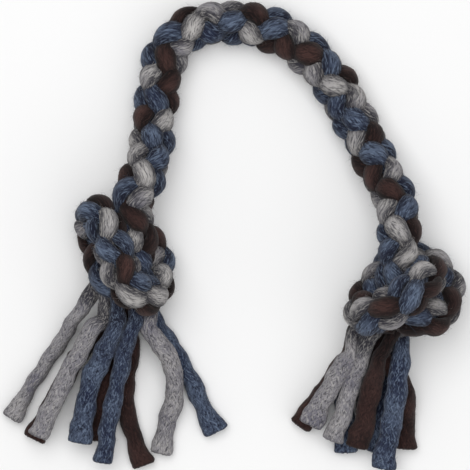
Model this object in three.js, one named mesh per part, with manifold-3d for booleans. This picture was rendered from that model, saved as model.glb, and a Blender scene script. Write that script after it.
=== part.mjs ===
// Rope dog toy: nine felted wool cords, eight of them braided round the ninth, an overhand knot tied
// near each end of the braid, and the cords left loose beyond the knots. Millimetres, lying flat, +Z up.
import * as THREE from 'three';
import { mergeVertices } from 'three/addons/utils/BufferGeometryUtils.js';
import Module from 'manifold-3d';

const wasm = await Module();
wasm.setup();

// Driving dimensions
const CORD = 9.5; // thickness of a loose cord
const CORD_ROOT = 5.4; // thickness of a loose cord where the knot pinches it
const CORD_TIP = 8.6; // thickness of a loose cord at its cut end
const ROPE = 22; // braid across
const KNOT_ROPE = 13.6; // braid across where a knot squeezes it
const MOUTH_ROPE = 26; // braid across where it opens into loose cords
const CORE = 4.8; // core cord across, inside the braid
const KNOT_PITCH = 15.5; // spacing of the passes of a knot
const FLAT = 0.9; // how far the toy has settled flat where it lies on the table
const NESTING = 0.88; // height of a cord lying in the hollow between two others, over a full cord
const GAP = 0.3; // clearance between neighbouring pieces
const BALL = 1.08; // ball of a bend, over the radius of the braid
const ARCH_RINGS = 52; // braid steps over the arch, four to each full turn of the weave
const KNOT_RINGS = 44; // braid steps in each knot
const SQUEEZE_RUN = 22; // length over which the braid narrows into a knot
const MOUTH_RUN = 16; // length over which the braid opens at a mouth
const ROOT_RUN = 24; // length over which a loose cord swells to full thickness
const CORD_SIDES = 8;
const CORE_SIDES = 6;
const BALL_SIDES = 12;
const ROUTE_SAMPLES = 4000; // places where the route of the rope is measured
const CORE_THINNING = 1.5; // power by which the core thins faster than the braid in a knot
const SLACK_GROWTH = 2; // power by which the cords of the braid are slimmed in a knot, to stay apart

// The braid in section: a core, an under layer and an over layer
const ROPE_RADIUS = ROPE / 2;
const LAYER = (ROPE_RADIUS - CORE / 2 - GAP) / 4;
const MID_RADIUS = ROPE_RADIUS - 2 * LAYER;
const TURN = Math.PI / 8;

// Heights of a loose cord: on the table, in the hollow between two others, and square on top of another
const FLOOR = CORD / 2 - FLAT;
const HOLLOW = FLOOR + NESTING * (CORD + GAP);
const SECOND = FLOOR + CORD + GAP;

// Route of the braid over the arch, left to right, chosen by eye
const ARCH = [
  [-46, 26, 22.5], [-42, 39, 17.5], [-40.5, 53, 13], [-39, 66, 11], [-37, 77, 10.3], [-35, 86.5, 10.1],
  [-31.5, 94.5, 10.1], [-24, 101.5, 10.1], [-12, 105, 10.1], [3, 105.5, 10.1], [18, 102.5, 10.1],
  [28.5, 97, 10.1], [37.5, 90, 10.1], [44, 83, 10.1], [49.5, 76, 10.1], [56, 65.5, 10.3], [62, 54, 11],
  [68.5, 41, 13.5], [75, 27, 18], [80.5, 14, 23],
];

// First half of an overhand knot in knot pitches: along the rope, across it, and to the back of the knot.
// The second half is the first turned half round about the third axis.
const KNOT_HALF = [
  [-1.4, -0.58, -0.18], [-0.55, -0.56, 0.03], [0.4, -0.4, 0.36], [0.68, 0.14, 0.95], [0.2, 0.85, 1.12],
  [-0.6, 1.26, 0.68], [-1.06, 1.14, -0.1], [-0.8, 0.58, -0.68],
];
const KNOT_MIDDLE = [0, 0, -0.82];

// Where each knot lies, which way the rope runs through it, how far it is rolled over, how loosely it is
// tied, and the way out to its mouth
const LEFT_KNOT = {
  centre: [-55, -7, 22.7],
  lean: -0.12,
  roll: 0.2,
  looseness: 1,
  mouth: [[-58.5, -25, 20.6], [-57, -34, 17.5]],
};
const RIGHT_KNOT = {
  centre: [84.2, -28, 24.6],
  lean: -0.3,
  roll: 2.19,
  looseness: 1.07,
  mouth: [[79, -46.4, 19.2], [75.5, -54, 17.5]],
};

// The three places where the rope bends, as braid steps from the left mouth
const BENDS = { left_neck: 48, crown: 66, right_neck: 92 };
const BODIES = ['left_knot', 'left_leg', 'right_leg', 'right_knot'];

// Colours of the felted wool
const WOOL = {
  grey: new THREE.Color(0x8b888b),
  blue: new THREE.Color(0x465366),
  brown: new THREE.Color(0x38241f),
};

// Cords of the braid. Four lay one way round (lay 1) and four the other way (lay -1); slot is the place
// in the round at the left mouth. Loose ends are lists of points from the mouth to the cut end.
const CORDS = [
  {
    name: 'grey_1', lay: 1, slot: 0,
    left: [[-74.5, -40, 15], [-82, -48, 8.8], [-91, -60, FLOOR], [-101, -75, FLOOR], [-111, -90.5, FLOOR]],
    right: [[71.7, -67, 4.4], [67.3, -80, FLOOR], [66.8, -88, FLOOR]],
  },
  {
    name: 'brown_1', lay: 1, slot: 3,
    left: [
      [-51.8, -51, 6.5], [-52.2, -63, FLOOR], [-54.3, -77, FLOOR], [-52.5, -96, FLOOR], [-46, -114, FLOOR],
    ],
    right: [[57.4, -60, 10.6], [49, -68.7, 4.2], [42, -82.5, FLOOR], [33.3, -95.7, FLOOR]],
  },
  {
    name: 'grey_2', lay: 1, slot: 2,
    left: [
      [-43, -47, 18.5], [-35.5, -56, 15], [-30, -69, 12], [-29, -83, 7.5], [-32.5, -97, FLOOR],
      [-36.5, -108, FLOOR],
    ],
    right: [
      [69.6, -64.6, 19.1], [66.1, -71, 14.1], [61.7, -81, HOLLOW + GAP], [56, -92, SECOND], [51, -101, HOLLOW],
    ],
  },
  {
    name: 'blue_1', lay: 1, slot: 1,
    left: [[-59.7, -49, 22], [-65.5, -60, 16], [-71, -73, SECOND], [-74.5, -87, SECOND], [-77, -102, 12]],
    right: [[84.3, -69, 22], [82.5, -81, 20.8], [82, -93, 14], [79.6, -104, 12.8], [76.5, -114.9, 10.9]],
  },
  {
    name: 'brown_2', lay: -1, slot: 3,
    left: [[-69, -48, 8], [-77, -60, FLOOR], [-85.5, -74, FLOOR], [-93, -88, FLOOR], [-99.5, -101, FLOOR]],
    right: [[75.3, -68, 23], [72.8, -80, 15.8], [67.5, -92, SECOND], [62.5, -104.5, 11.3]],
  },
  {
    name: 'blue_2', lay: -1, slot: 2,
    left: [[-39.5, -44, 9.5], [-34.5, -52, 5], [-26, -65, FLOOR], [-18.5, -81, FLOOR], [-10, -97.5, FLOOR]],
    right: [[81.8, -67, 4.4], [78.2, -80, FLOOR], [77, -93, FLOOR], [71.5, -107, FLOOR]],
  },
  {
    name: 'blue_3', lay: -1, slot: 1,
    left: [[-51.5, -49, 21], [-55, -60, 15.5], [-58.5, -76, SECOND], [-62.5, -95, 12.8], [-65.5, -112, 11]],
    right: [[62, -66.5, 4.6], [55.8, -80, FLOOR], [55.8, -94, FLOOR], [56, -107.5, FLOOR]],
  },
  {
    name: 'grey_3', lay: -1, slot: 0,
    left: [
      [-70.5, -47, 20], [-76.5, -58, 15], [-83.5, -71, SECOND], [-90.5, -85, SECOND], [-97, -99, SECOND],
    ],
    right: [[62, -63, 19.5], [56, -70, 14.3], [49.5, -80, HOLLOW + GAP], [41.5, -95, HOLLOW]],
  },
  {
    name: 'brown_3', lay: 0, slot: 0,
    left: [[-60, -49, 12], [-62, -60, 5], [-64.5, -74, FLOOR], [-67, -88, FLOOR], [-69, -101.5, FLOOR]],
    right: [[77.9, -66.5, 14], [87.2, -80, 10.6], [88, -93, 4.2], [87, -106, FLOOR]],
  },
];

// Route of the braid, mouth to mouth
function knotPoints({ centre, lean, roll, looseness }) {
  const pitch = looseness * KNOT_PITCH;
  const along = new THREE.Vector3(lean, -1, 0).normalize();
  const front = new THREE.Vector3(0, 0, 1).applyAxisAngle(along, roll);
  const across = new THREE.Vector3().crossVectors(front, along);
  const second = KNOT_HALF.map(([u, v, w]) => [-u, -v, w]).reverse();
  return [...KNOT_HALF, KNOT_MIDDLE, ...second].map(([u, v, w]) => new THREE.Vector3(...centre)
    .addScaledVector(along, u * pitch)
    .addScaledVector(across, -v * pitch)
    .addScaledVector(front, -w * pitch));
}

const vectors = (points) => points.map((point) => new THREE.Vector3(...point));
const tied = (knot) => [...knotPoints(knot).slice(0, -1), ...vectors(knot.mouth)];
const leftKnot = tied(LEFT_KNOT).reverse();
const rightKnot = tied(RIGHT_KNOT);
const stops = [...leftKnot, ...vectors(ARCH), ...rightKnot];
const route = new THREE.CatmullRomCurve3(stops, false, 'centripetal');
route.arcLengthDivisions = ROUTE_SAMPLES;
const LENGTH = route.getLength();
const RINGS = ARCH_RINGS + 2 * KNOT_RINGS;

// Where the route passes a given point, as a length from the left mouth
function lengthAt(point) {
  let best = 0;
  let least = Infinity;
  for (let k = 0; k <= ROUTE_SAMPLES; k += 1) {
    const distance = route.getPointAt(k / ROUTE_SAMPLES).distanceTo(point);
    if (distance < least) {
      least = distance;
      best = k;
    }
  }
  return (best / ROUTE_SAMPLES) * LENGTH;
}

// Lengths at which the braid enters each knot from the arch side
const leftEntry = lengthAt(leftKnot.at(-1));
const rightEntry = lengthAt(rightKnot[0]);

// Length from the left mouth of a braid step; the steps are longer inside the knots
const ARCH_STEP = (rightEntry - leftEntry) / ARCH_RINGS;
function ringLength(ring) {
  if (ring < KNOT_RINGS) return (ring * leftEntry) / KNOT_RINGS;
  const past = ring - KNOT_RINGS - ARCH_RINGS;
  if (past < 0) return leftEntry + (ring - KNOT_RINGS) * ARCH_STEP;
  return rightEntry + (past * (LENGTH - rightEntry)) / KNOT_RINGS;
}

// Frames carried along the route without twist, outwards from the crown, where the normal is straight up
const FRAMES = 1600;
const frames = (() => {
  const list = new Array(FRAMES + 1);
  const middle = Math.round((ringLength(BENDS.crown) / LENGTH) * FRAMES);
  for (const direction of [1, -1]) {
    let normal = new THREE.Vector3(0, 0, 1);
    let last = route.getTangentAt(middle / FRAMES);
    for (let k = middle; k >= 0 && k <= FRAMES; k += direction) {
      const tangent = route.getTangentAt(k / FRAMES);
      normal = normal.clone().applyQuaternion(new THREE.Quaternion().setFromUnitVectors(last, tangent));
      normal.addScaledVector(tangent, -normal.dot(tangent)).normalize();
      list[k] = { point: route.getPointAt(k / FRAMES), tangent, normal };
      last = tangent;
    }
  }
  return list;
})();

function frameAt(length) {
  const place = THREE.MathUtils.clamp((length / LENGTH) * FRAMES, 0, FRAMES);
  const low = Math.min(Math.floor(place), FRAMES - 1);
  const share = place - low;
  const [a, b] = [frames[low], frames[low + 1]];
  const point = a.point.clone().lerp(b.point, share);
  const tangent = a.tangent.clone().lerp(b.tangent, share).normalize();
  const normal = a.normal.clone().lerp(b.normal, share);
  normal.addScaledVector(tangent, -normal.dot(tangent)).normalize();
  return { point, tangent, normal, binormal: new THREE.Vector3().crossVectors(tangent, normal) };
}

const ease = (value, from, to) => THREE.MathUtils.smoothstep(value, Math.min(from, to), Math.max(from, to));

// Size of the braid along the route, over its size on the arch
function squeeze(length) {
  const knot = KNOT_ROPE / ROPE;
  const mouth = MOUTH_ROPE / ROPE;
  const fromEnd = Math.min(length, LENGTH - length);
  const toArch = length < LENGTH / 2 ? ease(length, leftEntry - SQUEEZE_RUN / 2, leftEntry + SQUEEZE_RUN / 2)
    : 1 - ease(length, rightEntry - SQUEEZE_RUN / 2, rightEntry + SQUEEZE_RUN / 2);
  return knot + (1 - knot) * toArch + (mouth - knot) * (1 - ease(fromEnd, 0, MOUTH_RUN));
}

// Angle of an upward direction about the rope, and the roll that brings a cord there at a mouth
function angleUp(frame) {
  return Math.atan2(frame.binormal.z, frame.normal.z);
}

const wrap = (angle) => Math.atan2(Math.sin(angle), Math.cos(angle));
const ARCH_PHASE = -TURN - BENDS.crown * TURN;
const leftRoll = wrap(angleUp(frameAt(0)) - Math.PI / 2 - ARCH_PHASE);
const rightRoll = wrap(angleUp(frameAt(LENGTH)) - Math.PI - (ARCH_PHASE + RINGS * TURN));

// Angle round the rope of the braid's zero, rolled inside the knots so the loose cords leave in order
function phase(length) {
  const left = leftRoll * (1 - ease(length, 0, leftEntry));
  const right = rightRoll * ease(length, rightEntry, LENGTH);
  return ARCH_PHASE + left + right;
}

// A point of the braid from its angle, its step along the rope and its layer (-2 inside, 2 outside)
function braidPoint(angle, ring, layer) {
  const length = ringLength(ring);
  const { point, normal, binormal } = frameAt(length);
  const radius = (MID_RADIUS + layer * LAYER) * squeeze(length);
  const turned = angle + phase(length);
  return point.clone()
    .addScaledVector(normal, radius * Math.cos(turned))
    .addScaledVector(binormal, radius * Math.sin(turned));
}

function cordAngle({ lay, slot }, ring) {
  return slot * 4 * TURN + (lay > 0 ? ring * TURN : 2 * TURN - ring * TURN);
}

// Closed geometry from rings of equal point counts; splitForward picks how each face is split
function skinRings(rings, splitForward) {
  const count = rings[0].length;
  const index = [];
  for (let r = 0; r + 1 < rings.length; r += 1) {
    for (let c = 0; c < count; c += 1) {
      const a = r * count + c;
      const b = r * count + ((c + 1) % count);
      const [d, e] = [a + count, b + count];
      if (splitForward[c % splitForward.length]) index.push(a, b, e, a, e, d);
      else index.push(a, b, d, b, e, d);
    }
  }
  const last = (rings.length - 1) * count;
  for (let c = 1; c + 1 < count; c += 1) {
    index.push(0, c + 1, c);
    index.push(last, last + c, last + c + 1);
  }
  const geometry = new THREE.BufferGeometry();
  const places = rings.flat().flatMap((point) => point.toArray());
  geometry.setAttribute('position', new THREE.Float32BufferAttribute(places, 3));
  geometry.setIndex(index);
  return outward(geometry);
}

function signedVolume(geometry) {
  const position = geometry.getAttribute('position');
  const corner = [new THREE.Vector3(), new THREE.Vector3(), new THREE.Vector3()];
  let volume = 0;
  for (let k = 0; k < geometry.index.count; k += 3) {
    corner.forEach((vector, c) => vector.fromBufferAttribute(position, geometry.index.getX(k + c)));
    volume += corner[0].dot(corner[1].clone().cross(corner[2])) / 6;
  }
  return volume;
}

function outward(geometry) {
  if (signedVolume(geometry) < 0) {
    const index = geometry.index.array;
    for (let k = 0; k < index.length; k += 3) [index[k], index[k + 1]] = [index[k + 1], index[k]];
  }
  return geometry;
}

// Solids for cutting
function solid(geometry) {
  const bare = geometry.clone();
  bare.deleteAttribute('normal');
  bare.deleteAttribute('uv');
  const merged = mergeVertices(bare, 1e-4);
  return new wasm.Manifold(new wasm.Mesh({
    numProp: 3,
    vertProperties: new Float32Array(merged.getAttribute('position').array),
    triVerts: new Uint32Array(merged.index.array),
  }));
}

function geometryOf(manifold) {
  const pieces = manifold.decompose();
  const largest = pieces.reduce((best, piece) => (piece.volume() > best.volume() ? piece : best));
  const mesh = largest.getMesh();
  const geometry = new THREE.BufferGeometry();
  geometry.setAttribute('position', new THREE.Float32BufferAttribute(mesh.vertProperties, 3));
  geometry.setIndex(Array.from(mesh.triVerts));
  return geometry;
}

// The table under the toy, which has pressed its underside flat
const TABLE = 600;
const table = solid(new THREE.BoxGeometry(TABLE, TABLE, TABLE).translate(0, 0, -TABLE / 2));

const BEND_BLOCK = 2.5; // block that cuts one side of a bend, over the radius of its ball

// A bend: the rope parts on a ball, so that either side can turn about the upright line through its middle.
// The flats of the socket stay clear of the corners of the ball as it turns.
function bend(ring) {
  const { point, tangent } = frameAt(ringLength(ring));
  const radius = ROPE_RADIUS * BALL;
  const socketRadius = (radius + GAP) / Math.cos(Math.PI / BALL_SIDES);
  const sphere = (size) => solid(new THREE.SphereGeometry(size, BALL_SIDES, BALL_SIDES / 2)
    .rotateX(Math.PI / 2)
    .translate(point.x, point.y, point.z));
  const side = BEND_BLOCK * radius;
  const block = new THREE.BoxGeometry(side, side, side).translate(0, 0, -side / 2);
  block.applyQuaternion(new THREE.Quaternion().setFromUnitVectors(new THREE.Vector3(0, 0, 1), tangent));
  block.translate(point.x, point.y, point.z);
  return { ring, socket: sphere(socketRadius), surround: solid(block).subtract(sphere(radius)) };
}

const bends = Object.values(BENDS).map(bend);
const BALL_RINGS = Math.ceil((ROPE_RADIUS * BALL) / ARCH_STEP) + 1;

// Steps of the braid that belong to one body, reaching into the bends at its ends
function span(body) {
  return {
    from: body === 0 ? 0 : BENDS[Object.keys(BENDS)[body - 1]] - BALL_RINGS,
    to: body === bends.length ? RINGS : BENDS[Object.keys(BENDS)[body]],
  };
}

// One cord of the braid: a lens-shaped strand that passes over and under the cords of the other lay
function strandRing(cord, ring) {
  const angle = cordAngle(cord, ring);
  const over = cord.lay * Math.cos(4 * (angle - TURN));
  const slack = GAP / LAYER / squeeze(ringLength(ring)) ** SLACK_GROWTH;
  const reach = 1 - slack / 2;
  const along = ring === 0 || ring === RINGS ? 0 : reach;
  const side = (way) => braidPoint(angle - way * cord.lay * TURN * reach, ring + way * along, over);
  const outer = braidPoint(angle, ring, over + 1 - slack);
  const inner = braidPoint(angle, ring, over - 1 + slack);
  return [outer, side(1), inner, side(-1)];
}

function coreRing(ring) {
  const { point, normal, binormal } = frameAt(ringLength(ring));
  const radius = (CORE / 2) * Math.min(1, squeeze(ringLength(ring)) ** CORE_THINNING);
  return Array.from({ length: CORE_SIDES }, (_, k) => point.clone()
    .addScaledVector(normal, radius * Math.cos((2 * Math.PI * k) / CORE_SIDES))
    .addScaledVector(binormal, radius * Math.sin((2 * Math.PI * k) / CORE_SIDES)));
}

function braidedCord(cord, body) {
  const { from, to } = span(body);
  const rings = [];
  for (let ring = from; ring <= to; ring += 1) {
    rings.push(cord.lay === 0 ? coreRing(ring) : strandRing(cord, ring));
  }
  let shape = solid(skinRings(rings, cord.lay === 0 ? [true] : [true, false, false, true]));
  if (body > 0) shape = shape.subtract(bends[body - 1].surround);
  if (body < bends.length) shape = shape.subtract(bends[body].socket);
  return geometryOf(shape.subtract(table));
}

// Where a cord leaves the braid at a mouth
function mouthPoint(cord, end) {
  const ring = end === 'left' ? 0 : RINGS;
  return cord.lay === 0 ? frameAt(ringLength(ring)).point : braidPoint(cordAngle(cord, ring), ring, 0);
}

// A loose cord: a round root at the mouth, swelling to full thickness, with a cut end
const ROOT_DOME = [-1, -0.8, -0.4]; // stations of the round root, as shares of its radius
function looseCord(cord, end) {
  const mouth = frameAt(end === 'left' ? 0 : LENGTH);
  const outwards = mouth.tangent.multiplyScalar(end === 'left' ? -1 : 1);
  const root = mouthPoint(cord, end).addScaledVector(outwards, CORD_ROOT / 2 + GAP);
  const path = new THREE.CatmullRomCurve3([root, ...vectors(cord[end])], false, 'centripetal');
  const length = path.getLength();
  const steps = Math.round(length / CORD);
  const stations = ROOT_DOME.map((share) => ({
    at: 0,
    back: (share * CORD_ROOT) / 2,
    size: Math.sqrt(1 - share ** 2) * CORD_ROOT,
  }));
  for (let k = 0; k <= steps; k += 1) {
    const at = k / steps;
    const swell = ease(at * length, 0, ROOT_RUN);
    const taper = ease(at * length, length - CORD, length);
    stations.push({ at, back: 0, size: CORD_ROOT + (CORD - CORD_ROOT) * swell - (CORD - CORD_TIP) * taper });
  }
  let normal = new THREE.Vector3(1, 0, 0);
  const rings = stations.map(({ at, back, size }) => {
    const tangent = path.getTangentAt(at);
    normal = normal.clone().addScaledVector(tangent, -normal.dot(tangent)).normalize();
    const binormal = new THREE.Vector3().crossVectors(tangent, normal);
    const centre = path.getPointAt(at).addScaledVector(tangent, back);
    const radius = Math.max(size, GAP) / 2;
    return Array.from({ length: CORD_SIDES }, (_, k) => centre.clone()
      .addScaledVector(normal, radius * Math.cos((2 * Math.PI * (k + 0.25)) / CORD_SIDES))
      .addScaledVector(binormal, radius * Math.sin((2 * Math.PI * (k + 0.25)) / CORD_SIDES)));
  });
  return geometryOf(solid(skinRings(rings, [true])).subtract(table));
}

// The toy
function wool(cord) {
  const colour = WOOL[cord.name.split('_')[0]];
  return new THREE.MeshStandardMaterial({ color: colour, roughness: 0.95, metalness: 0 });
}

const toy = new THREE.Group();
function place(name, geometry, cord) {
  const mesh = new THREE.Mesh(geometry, wool(cord));
  mesh.name = name;
  toy.add(mesh);
}

for (const cord of CORDS) {
  BODIES.forEach((body, k) => place(`${cord.name}_${body}`, braidedCord(cord, k), cord));
  place(`${cord.name}_left_end`, looseCord(cord, 'left'), cord);
  place(`${cord.name}_right_end`, looseCord(cord, 'right'), cord);
}

export default toy;
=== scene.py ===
"""A rope dog toy of nine felted wool cords: eight braided round a ninth, a knot near each end of the
braid, and the cords left loose beyond the knots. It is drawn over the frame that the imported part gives."""

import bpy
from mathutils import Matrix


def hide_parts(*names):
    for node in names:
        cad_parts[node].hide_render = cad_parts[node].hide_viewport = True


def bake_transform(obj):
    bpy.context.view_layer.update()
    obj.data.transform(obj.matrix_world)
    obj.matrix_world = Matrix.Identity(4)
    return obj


bl_info = {
    "name": "Rope dog toy",
    "version": (1, 0, 0),
    "blender": (4, 5, 0),
    "location": "View3D > Sidebar > Rope toy",
    "description": "Draws a braided and knotted rope toy of felted wool cords",
    "category": "Object",
}

from dataclasses import dataclass
from math import cos, pi, sin

import bpy
import numpy as np
from bpy.props import FloatProperty, FloatVectorProperty, IntProperty, PointerProperty

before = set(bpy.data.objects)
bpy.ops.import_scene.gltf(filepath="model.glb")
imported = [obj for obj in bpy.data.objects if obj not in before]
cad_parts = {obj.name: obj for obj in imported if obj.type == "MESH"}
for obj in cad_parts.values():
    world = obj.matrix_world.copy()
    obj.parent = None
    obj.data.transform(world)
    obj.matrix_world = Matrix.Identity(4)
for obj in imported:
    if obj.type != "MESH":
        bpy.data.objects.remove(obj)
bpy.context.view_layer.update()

# Shared with the part, in metres: the thickness of a loose cord, how far it is pressed flat on the floor, the
# clearance between cords, a cord's height above two others over that above one, the pitch of a knot's turns,
# and the part's thickness of a loose cord where it leaves its knot
CORD = 0.0095
FLAT = 0.0009
GAP = 0.0003
NESTING = 0.88
KNOT_PITCH = 0.0155
CORD_ROOT = 0.0054

# The braid: the turn of a cord in one step, the turn between two cords that lie the same way round, how often
# a cord goes over the others in a whole turn, and the steps from one time to the next
TURN = pi / 8
QUARTER = 4 * TURN
OVERS = 4
OVER_STEPS = 4

# Braid steps over the arch, in each knot and in all, and the steps at which the rope bends, from the left
ARCH_RINGS = 52
KNOT_RINGS = 44
RINGS = ARCH_RINGS + 2 * KNOT_RINGS
LEFT_NECK = 48
CROWN = 66
RIGHT_NECK = 92

# Braid steps near which the drawn lengths of a cord meet, where it is hidden under another
LEFT_MEET = (LEFT_NECK + CROWN) // 2
RIGHT_MEET = (CROWN + RIGHT_NECK) // 2

# Braid steps from a mouth at which the braid stops, and near which a cord leaves it that comes out beside
BRAID_STOP = 1.3
BESIDE_STOP = 5

# Heights of a loose cord: on the floor, in the hollow between two others, and square on top of another
FLOOR = CORD / 2 - FLAT
HOLLOW = FLOOR + NESTING * (CORD + GAP)
SECOND = FLOOR + CORD + GAP

# Route of the braid over the arch, left to right
ARCH = [
    (-0.046, 0.026, 0.0225), (-0.042, 0.039, 0.0175), (-0.0405, 0.053, 0.013), (-0.039, 0.066, 0.011),
    (-0.037, 0.077, 0.0103), (-0.035, 0.0865, 0.0101), (-0.0315, 0.0945, 0.0101), (-0.024, 0.1015, 0.0101),
    (-0.012, 0.105, 0.0101), (0.003, 0.1055, 0.0101), (0.018, 0.1025, 0.0101), (0.0285, 0.097, 0.0101),
    (0.0375, 0.09, 0.0101), (0.044, 0.083, 0.0101), (0.0495, 0.076, 0.0101), (0.056, 0.0655, 0.0103),
    (0.062, 0.054, 0.011), (0.0685, 0.041, 0.0135), (0.075, 0.027, 0.018), (0.0805, 0.014, 0.023),
]

# First half of an overhand knot in knot pitches: along the rope, across it, and to the back of the knot.
# The second half is the first turned half round about the third axis.
KNOT_HALF = [
    (-0.55, -0.56, 0.03), (0.4, -0.4, 0.36), (0.68, 0.14, 0.95), (0.2, 0.85, 1.12), (-0.6, 1.26, 0.68),
    (-1.06, 1.14, -0.1), (-0.8, 0.58, -0.68),
]
KNOT_MIDDLE = (0, 0, -0.82)

# Where each knot lies, which way the rope runs through it, how far it is rolled over, how loosely it is
# tied, how far it is drawn out along the rope, how far the braid is twisted inside it, the way in from the
# arch, the way out to its mouth, and the place in the round that lies on top there
LEFT_KNOT = {
    "centre": (-0.0562, -0.0102, 0.0227), "lean": -0.14, "roll": 0.2, "looseness": 1, "stretch": 1.26,
    "twist": pi / 2, "entry": (-0.051, 0.0135, 0.0265),
    "mouth": [(-0.0565, -0.028, 0.0206), (-0.0545, -0.0355, 0.0175)], "mouth_top": 5 * pi / 8,
}
RIGHT_KNOT = {
    "centre": (0.082, -0.0277, 0.0235), "lean": -0.3, "roll": 2.19, "looseness": 1.16, "stretch": 1,
    "twist": 0, "entry": (0.082, -0.0046, 0.0293),
    "mouth": [(0.0775, -0.0464, 0.0192), (0.0712, -0.054, 0.0175)], "mouth_top": 7 * pi / 8,
}

# Cords: four lay one way round the braid (lay 1), four the other way (lay -1) and one runs in the middle
# (lay 0); slot is the place in the round at the left mouth. Loose ends run from the mouth to the cut end;
# one that comes out beside the mouth has its own root. Breadth is that of a loose end over its thickness;
# flare is how far its cut end has spread.
CORDS = [
    {
        "name": "grey_1", "lay": 1, "slot": 0, "breadth": {"left": 0.84}, "flare": {"left": 1.4},
        "left_root": [(-0.06, -0.012, 0.017), (-0.066, -0.0205, 0.018), (-0.0715, -0.03, 0.0175)],
        "left": [(-0.0775, -0.0395, 0.0145), (-0.0838, -0.049, 0.0088), (-0.0912, -0.06, FLOOR),
                 (-0.101, -0.075, FLOOR), (-0.111, -0.0905, FLOOR)],
        "right": [(0.0717, -0.067, 0.0044), (0.0673, -0.08, FLOOR), (0.0668, -0.0915, FLOOR)],
    },
    {
        "name": "brown_1", "lay": 1, "slot": 3, "flare": {"left": 1.2},
        "left": [(-0.0518, -0.051, 0.0065), (-0.0522, -0.063, FLOOR), (-0.0543, -0.077, FLOOR),
                 (-0.0525, -0.096, FLOOR), (-0.046, -0.114, FLOOR)],
        "right": [(0.0585, -0.06, 0.009), (0.052, -0.0687, 0.0042), (0.0436, -0.081, FLOOR),
                  (0.034, -0.0945, FLOOR)],
    },
    {
        "name": "grey_2", "lay": 1, "slot": 2,
        "left": [(-0.043, -0.047, 0.0185), (-0.0355, -0.056, 0.015), (-0.0304, -0.069, 0.012),
                 (-0.0302, -0.083, 0.0075), (-0.0344, -0.098, FLOOR), (-0.0368, -0.108, FLOOR)],
        "right": [(0.064, -0.063, 0.019), (0.0605, -0.071, 0.0141), (0.057, -0.081, HOLLOW + GAP),
                  (0.0535, -0.092, SECOND), (0.0502, -0.101, HOLLOW)],
    },
    {
        "name": "blue_1", "lay": 1, "slot": 1, "breadth": {"left": 1.12, "right": 1.1},
        "right_root": [(0.0785, -0.034, 0.016), (0.081, -0.043, 0.018), (0.0828, -0.052, 0.0195)],
        "left": [(-0.0597, -0.049, 0.022), (-0.0655, -0.06, 0.016), (-0.071, -0.073, SECOND),
                 (-0.0745, -0.087, SECOND), (-0.077, -0.102, 0.012)],
        "right": [(0.0825, -0.065, 0.0205), (0.0809, -0.079, 0.0195), (0.0788, -0.092, 0.0155),
                  (0.0768, -0.104, 0.0128), (0.075, -0.1149, 0.0109)],
    },
    {
        "name": "brown_2", "lay": -1, "slot": 3, "breadth": {"right": 1.22},
        "left": [(-0.069, -0.048, 0.008), (-0.077, -0.06, FLOOR), (-0.0855, -0.074, FLOOR),
                 (-0.093, -0.088, FLOOR), (-0.0995, -0.101, FLOOR)],
        "right": [(0.0715, -0.065, 0.023), (0.0687, -0.077, 0.0175), (0.0655, -0.091, 0.0148),
                  (0.062, -0.1045, 0.0113)],
    },
    {
        "name": "blue_2", "lay": -1, "slot": 2, "flare": {"left": 1.4},
        "right_root": [(0.076, -0.038, 0.013), (0.0795, -0.049, 0.0095), (0.081, -0.058, 0.0062)],
        "left": [(-0.0395, -0.044, 0.0095), (-0.0345, -0.052, 0.005), (-0.026, -0.065, FLOOR),
                 (-0.0185, -0.081, FLOOR), (-0.01, -0.0975, FLOOR)],
        "right": [(0.0808, -0.067, 0.0044), (0.0768, -0.08, FLOOR), (0.0735, -0.093, FLOOR),
                  (0.0675, -0.106, FLOOR)],
    },
    {
        "name": "blue_3", "lay": -1, "slot": 1,
        "left": [(-0.0515, -0.049, 0.021), (-0.055, -0.06, 0.0155), (-0.0585, -0.076, SECOND),
                 (-0.0625, -0.095, 0.0128), (-0.0655, -0.112, 0.011)],
        "right": [(0.062, -0.0665, 0.0046), (0.0558, -0.08, FLOOR), (0.0558, -0.094, FLOOR),
                  (0.056, -0.1075, FLOOR)],
    },
    {
        "name": "grey_3", "lay": -1, "slot": 0, "breadth": {"right": 1.15},
        "left": [(-0.0705, -0.047, 0.02), (-0.0765, -0.058, 0.015), (-0.0835, -0.071, SECOND),
                 (-0.0905, -0.085, SECOND), (-0.097, -0.099, SECOND)],
        "right": [(0.0585, -0.0605, 0.0185), (0.0525, -0.069, 0.0143), (0.0465, -0.079, HOLLOW + GAP),
                  (0.039, -0.0935, HOLLOW)],
    },
    {
        "name": "brown_3", "lay": 0, "slot": 0,
        "left": [(-0.06, -0.049, 0.012), (-0.062, -0.06, 0.005), (-0.0645, -0.074, FLOOR),
                 (-0.067, -0.088, FLOOR), (-0.069, -0.1015, FLOOR)],
        "right": [(0.0785, -0.0665, 0.014), (0.086, -0.08, 0.0106), (0.0865, -0.093, 0.0042),
                  (0.0857, -0.1055, FLOOR)],
    },
]

# How finely things are drawn
SPAN_SAMPLES = 60
ROPE_SAMPLES = 3000
STEPS_PER_RING = 9
BRAID_SIDES = 22
LOOSE_SIDES = 36
LOOSE_STEP = 0.0006

# Start of the random draws for each drawn length of a cord, and for a braided cord as a whole
DRAWS = {"left_end": 0, "right_end": 1, "left": 2, "arch": 3, "right": 4, "whole": 9}

# How far the wool's pattern is moved along a loose end, so that it differs from the braid's
LOOSE_OFFSETS = {"left": 1.0, "right": 1.5}

# Waves of a value that wanders along a cord, each over the longest, and the usual height of their sum
WAVE_SHARES = (1.0, 0.61, 0.37)
WAVE_HEIGHT = 2.2

# Unevenness of a cord's skin: its height over the radius, and its waves as times round and length along.
# Each wave meets one that runs the other way round and has a share of its waves along; the usual height of
# such a pair comes last.
LUMPS = (0.045, [(2, 0.011), (3, 0.007), (5, 0.0045)])
RIBS = (0.012, [(7, 0.02), (9, 0.03)])
COUNTER_SHARE = 0.7
LUMP_HEIGHT = 1.6

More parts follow.
